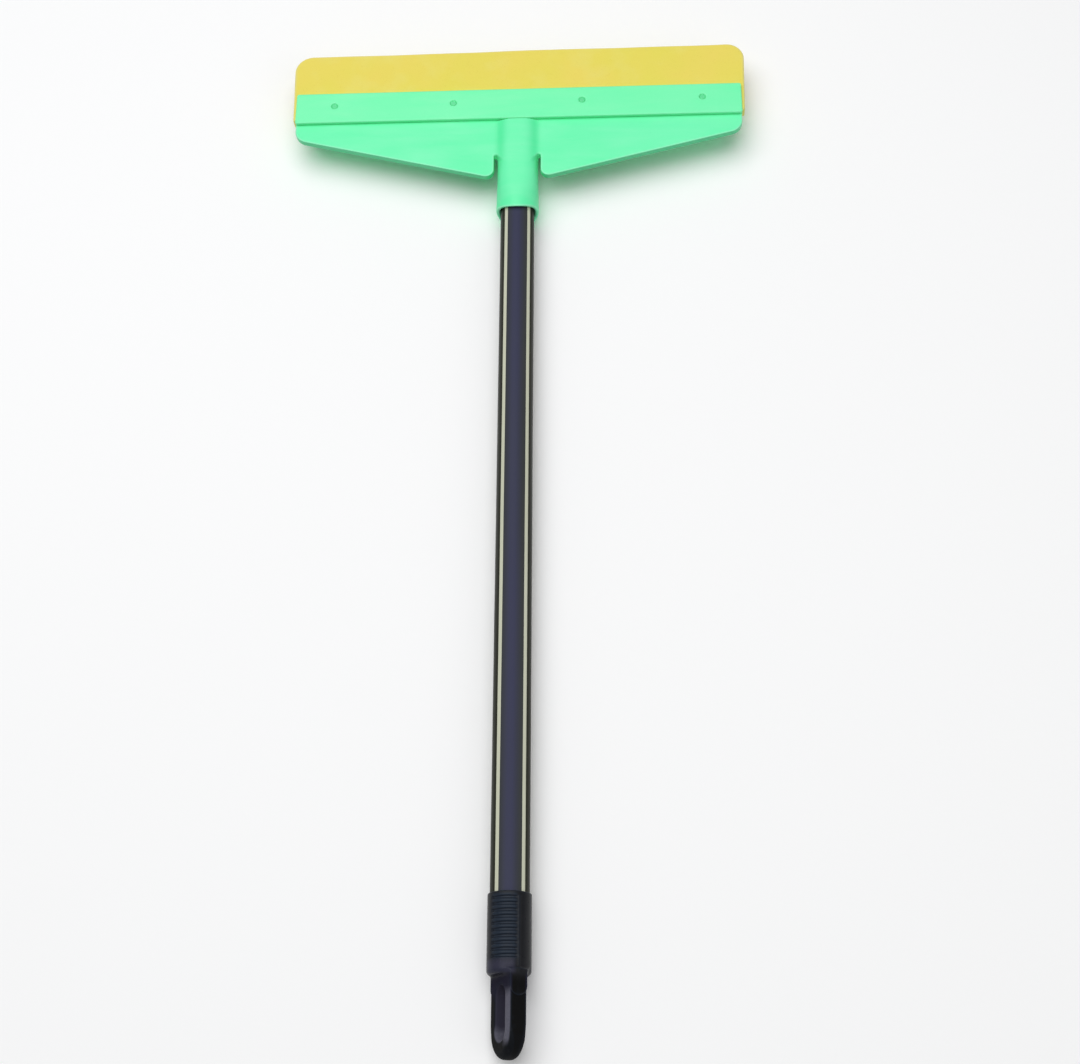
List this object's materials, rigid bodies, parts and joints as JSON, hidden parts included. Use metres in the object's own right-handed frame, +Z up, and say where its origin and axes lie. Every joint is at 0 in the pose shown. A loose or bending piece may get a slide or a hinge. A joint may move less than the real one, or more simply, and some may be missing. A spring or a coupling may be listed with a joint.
{
  "type": "squeegee",
  "caption": "Hand squeegee: flexible foam blade clamped in a winged plastic head, on a straight film-covered steel pole with a ribbed grip and hanging loop.",
  "frame": {"origin": "centre of the bottom of the part's box, with the squeegee lying on its back, blade front face up", "axes": "+X along the blade, +Y along the pole from the grip to the blade, +Z up out of the front face"},
  "size_m": [0.305, 0.66, 0.028],
  "materials": {
    "green_plastic": "satin",
    "pin_plastic": "satin",
    "yellow_foam": "matte",
    "steel": "satin",
    "dark_film": "satin",
    "black_plastic": "satin"
  },
  "bodies": {
    "head": {"head_body": "green_plastic", "clamp_strip": "green_plastic", "clamp_pin_1": "pin_plastic", "clamp_pin_2": "pin_plastic", "clamp_pin_3": "pin_plastic", "clamp_pin_4": "pin_plastic", "blade_root": "yellow_foam"},
    "blade": {"blade_lip": "yellow_foam"},
    "pole": {"pole_tube": "steel", "pole_sleeve": "dark_film", "pole_plug": "black_plastic", "grip": "black_plastic"}
  },
  "joints": [
    {"name": "blade_flex", "type": "hinge", "parent": "head", "child": "blade", "pos_m": [0, 0.299, 0.0206], "axis": [1, 0, 0], "range_deg": [-30, 30], "stiffness_Nm_per_rad": 1.9},
    {"name": "pole_pull", "type": "slide", "parent": "head", "child": "pole", "axis": [0, -1, 0], "range_m": [0, 0.06]}
  ]
}
